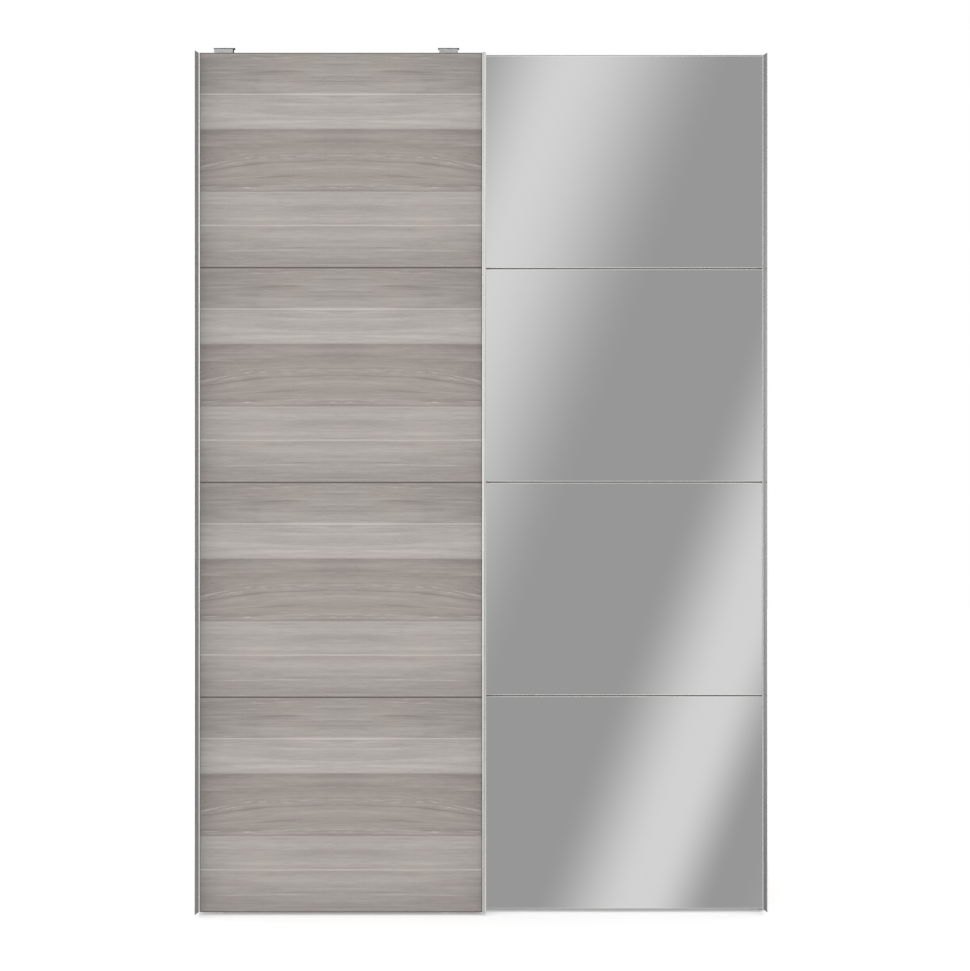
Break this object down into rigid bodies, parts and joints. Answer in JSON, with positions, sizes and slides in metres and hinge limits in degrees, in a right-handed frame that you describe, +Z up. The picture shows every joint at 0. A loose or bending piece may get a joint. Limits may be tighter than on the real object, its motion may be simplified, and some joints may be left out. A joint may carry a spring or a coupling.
{
  "type": "sliding door wardrobe",
  "caption": "Tall sliding door wardrobe: a board carcass with a hanging bay and shelves behind top-hung wood-effect and mirror doors that pass each other.",
  "frame": {"origin": "on the floor, under the centre of the bounding box", "axes": "+X to the right seen from the front, +Y towards the back, +Z up"},
  "size_m": [1.5, 0.635, 2.2836],
  "materials": {
    "carcass_board": "wood-effect melamine, fine matt grain",
    "wood_panel": "grey wood-effect board, matt",
    "mirror": "silvered glass",
    "aluminium": "satin anodised",
    "dark_profile": "dark anodised",
    "steel": "zinc plated",
    "black_plastic": "moulded",
    "white_plastic": "moulded",
    "back_board": "painted hardboard"
  },
  "bodies": {
    "carcass": {"side_panel_left": "carcass_board", "side_panel_right": "carcass_board", "top_panel": "carcass_board", "bottom_panel": "carcass_board", "plinth_board": "carcass_board", "centre_partition": "carcass_board", "back_panel_left": "back_board", "back_panel_right": "back_board", "hat_shelf_left": "carcass_board", "hat_shelf_right": "carcass_board", "shelf_right_1": "carcass_board", "shelf_right_2": "carcass_board", "shelf_right_3": "carcass_board", "hanging_rail": "steel", "rail_socket_left": "steel", "rail_socket_right": "steel", "top_track": "aluminium", "guide_track": "aluminium", "track_stop_left": "black_plastic", "track_stop_right": "black_plastic"},
    "front_door": {"front_handle_stile": "aluminium", "front_meeting_stile": "aluminium", "front_top_rail": "dark_profile", "front_bottom_rail": "dark_profile", "front_wood_panel_1": "wood_panel", "front_wood_panel_2": "wood_panel", "front_wood_panel_3": "wood_panel", "front_wood_panel_4": "wood_panel", "front_divider_1": "dark_profile", "front_divider_2": "dark_profile", "front_divider_3": "dark_profile", "front_hanger_left": "steel", "front_hanger_right": "steel", "front_hanger_cover_left": "black_plastic", "front_hanger_cover_right": "black_plastic", "front_guide_left": "steel", "front_guide_right": "steel"},
    "rear_door": {"rear_handle_stile": "aluminium", "rear_meeting_stile": "aluminium", "rear_top_rail": "aluminium", "rear_bottom_rail": "aluminium", "rear_mirror_panel_1": "mirror", "rear_mirror_panel_2": "mirror", "rear_mirror_panel_3": "mirror", "rear_mirror_panel_4": "mirror", "rear_divider_1": "dark_profile", "rear_divider_2": "dark_profile", "rear_divider_3": "dark_profile", "rear_hanger_left": "steel", "rear_hanger_right": "steel", "rear_guide_left": "black_plastic", "rear_guide_right": "black_plastic"},
    "front_wheel_left": {"front_wheel_left": "white_plastic"},
    "front_wheel_right": {"front_wheel_right": "white_plastic"},
    "rear_wheel_left": {"rear_wheel_left": "white_plastic"},
    "rear_wheel_right": {"rear_wheel_right": "white_plastic"},
    "front_guide_pin_left": {"front_guide_pin_left": "white_plastic"},
    "front_guide_pin_right": {"front_guide_pin_right": "white_plastic"},
    "rear_guide_pin_left": {"rear_guide_pin_left": "white_plastic"},
    "rear_guide_pin_right": {"rear_guide_pin_right": "white_plastic"}
  },
  "joints": [
    {"name": "front_door_slide", "type": "slide", "parent": "carcass", "child": "front_door", "axis": [1, 0, 0], "range_m": [0, 0.728]},
    {"name": "rear_door_slide", "type": "slide", "parent": "carcass", "child": "rear_door", "axis": [1, 0, 0], "range_m": [-0.728, 0]},
    {"name": "front_wheel_left_roll", "type": "hinge", "parent": "front_door", "child": "front_wheel_left", "pos_m": [-0.681, -0.213, 2.252], "axis": [0, 1, 0], "continuous": true},
    {"name": "front_wheel_right_roll", "type": "hinge", "parent": "front_door", "child": "front_wheel_right", "pos_m": [-0.088, -0.213, 2.252], "axis": [0, 1, 0], "continuous": true},
    {"name": "rear_wheel_left_roll", "type": "hinge", "parent": "rear_door", "child": "rear_wheel_left", "pos_m": [0.088, -0.2335, 2.252], "axis": [0, 1, 0], "continuous": true},
    {"name": "rear_wheel_right_roll", "type": "hinge", "parent": "rear_door", "child": "rear_wheel_right", "pos_m": [0.681, -0.2335, 2.252], "axis": [0, 1, 0], "continuous": true},
    {"name": "front_guide_pin_left_retract", "type": "slide", "parent": "front_door", "child": "front_guide_pin_left", "axis": [0, 0, -1], "range_m": [0, 0.012], "stiffness_N_per_m": 200, "springref_m": -0.005},
    {"name": "front_guide_pin_right_retract", "type": "slide", "parent": "front_door", "child": "front_guide_pin_right", "axis": [0, 0, -1], "range_m": [0, 0.012], "stiffness_N_per_m": 200, "springref_m": -0.005},
    {"name": "rear_guide_pin_left_retract", "type": "slide", "parent": "rear_door", "child": "rear_guide_pin_left", "axis": [0, 0, -1], "range_m": [0, 0.012], "stiffness_N_per_m": 200, "springref_m": -0.005},
    {"name": "rear_guide_pin_right_retract", "type": "slide", "parent": "rear_door", "child": "rear_guide_pin_right", "axis": [0, 0, -1], "range_m": [0, 0.012], "stiffness_N_per_m": 200, "springref_m": -0.005}
  ],
  "couplings": [
    {"joint": "front_wheel_left_roll", "follows": "front_door_slide", "rad_per_m": 100},
    {"joint": "front_wheel_right_roll", "follows": "front_door_slide", "rad_per_m": 100},
    {"joint": "rear_wheel_left_roll", "follows": "rear_door_slide", "rad_per_m": 100},
    {"joint": "rear_wheel_right_roll", "follows": "rear_door_slide", "rad_per_m": 100}
  ]
}
